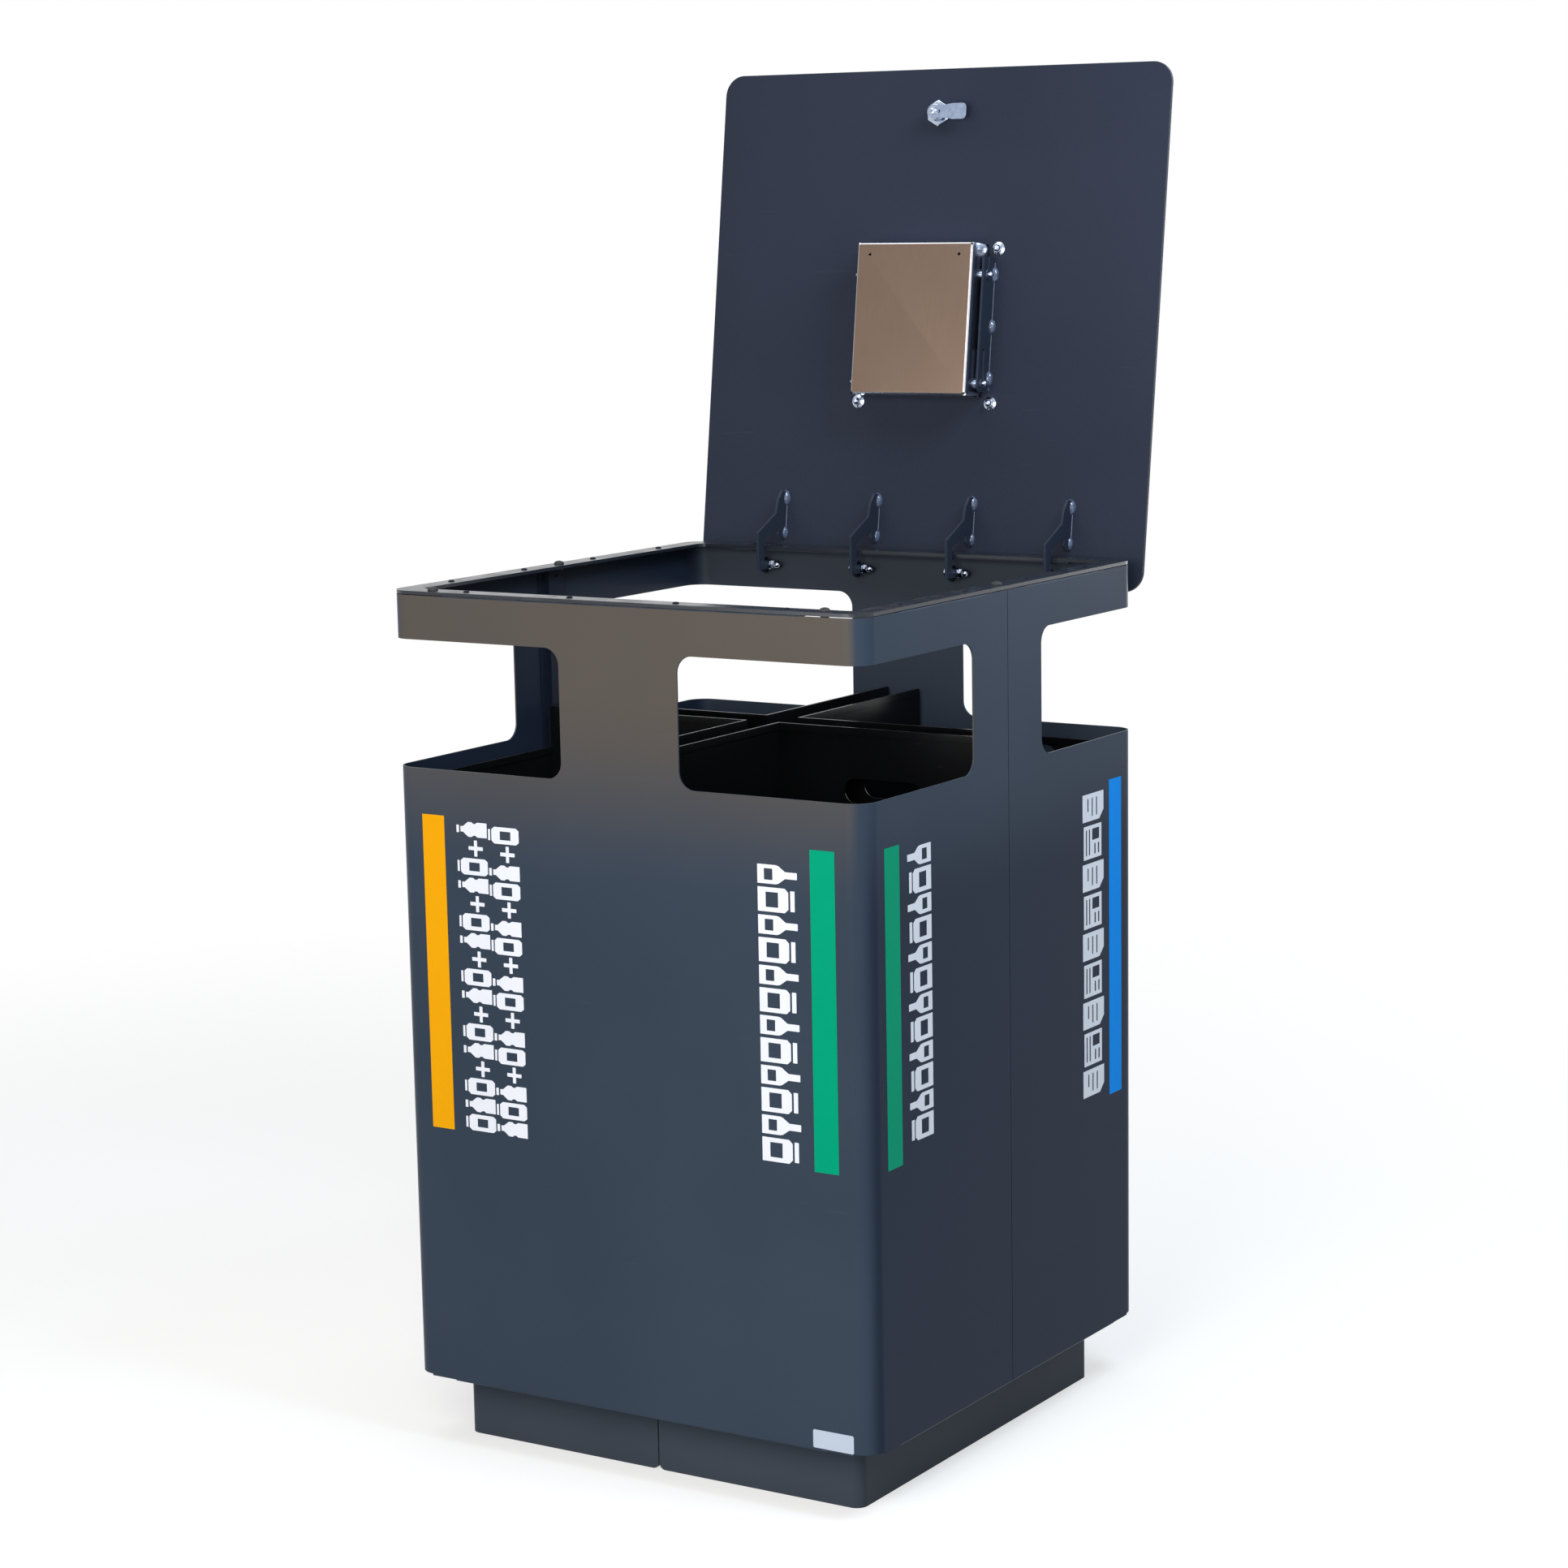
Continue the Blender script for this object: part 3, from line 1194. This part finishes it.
panel("key", (0.6, -2.1, 1.5), (0, -0.3, 0.75), 1.1, 1.1, 35, (1, 0.95, 0.9))
panel("fill", (-0.6, -3.8, 0.7), (0, -0.3, 0.5), 2.4, 1.2, 34)
panel("left_wall", (-4.2, -1.4, 1.5), (0, 0, 0.9), 3.0, 2.4, 5)
panel("top", (-0.9, -0.6, 4.3), (0, 0, 1), 3.0, 3.0, 44)
panel("right_wall", (4.4, 1.6, 1.5), (0, 0, 0.7), 3.4, 2.6, 9, (0.5, 0.74, 1))
panel("back", (0.8, 4.2, 1.7), (0, 0, 0.9), 3.0, 2.4, 75)
panel("right_high", (1.4, -0.2, 2.5), (0.3, 0, 0.8), 0.8, 0.8, 31, (0.72, 0.87, 1))

# %% World
world = bpy.data.worlds.new("studio")
bpy.context.scene.world = world
tree = empty_tree(world)
path = tree.nodes.new("ShaderNodeLightPath")
first = tree.nodes.new("ShaderNodeMath")
first.operation = "MAXIMUM"
seen = tree.nodes.new("ShaderNodeMath")
seen.operation = "MAXIMUM"
soft = tree.nodes.new("ShaderNodeBackground")
soft.inputs["Color"].default_value = (0.94, 0.97, 1, 1)
soft.inputs["Strength"].default_value = 0.27
white = tree.nodes.new("ShaderNodeBackground")
white.inputs["Color"].default_value = (1, 1, 1, 1)
white.inputs["Strength"].default_value = 1
mix = tree.nodes.new("ShaderNodeMixShader")
end = tree.nodes.new("ShaderNodeOutputWorld")
link_all(
    tree,
    (path.outputs["Is Camera Ray"], first.inputs[0]),
    (path.outputs["Is Glossy Ray"], first.inputs[1]),
    (first.outputs[0], seen.inputs[0]),
    (path.outputs["Is Transmission Ray"], seen.inputs[1]),
    (seen.outputs[0], mix.inputs[0]),
    (soft.outputs[0], mix.inputs[1]),
    (white.outputs[0], mix.inputs[2]),
    (mix.outputs[0], end.inputs["Surface"]),
)
bpy.context.scene.view_settings.view_transform = "Standard"
print("world has", len(tree.nodes), "nodes")

# %% [markdown]
# ## Measure and finish
# The dressed model may not outgrow the CAD model, so both boxes are written down and compared.

# %% Sizes
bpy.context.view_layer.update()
triangles = 0
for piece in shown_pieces():
    piece.data.calc_loop_triangles()
    triangles += len(piece.data.loop_triangles)
print("triangles:", triangles)
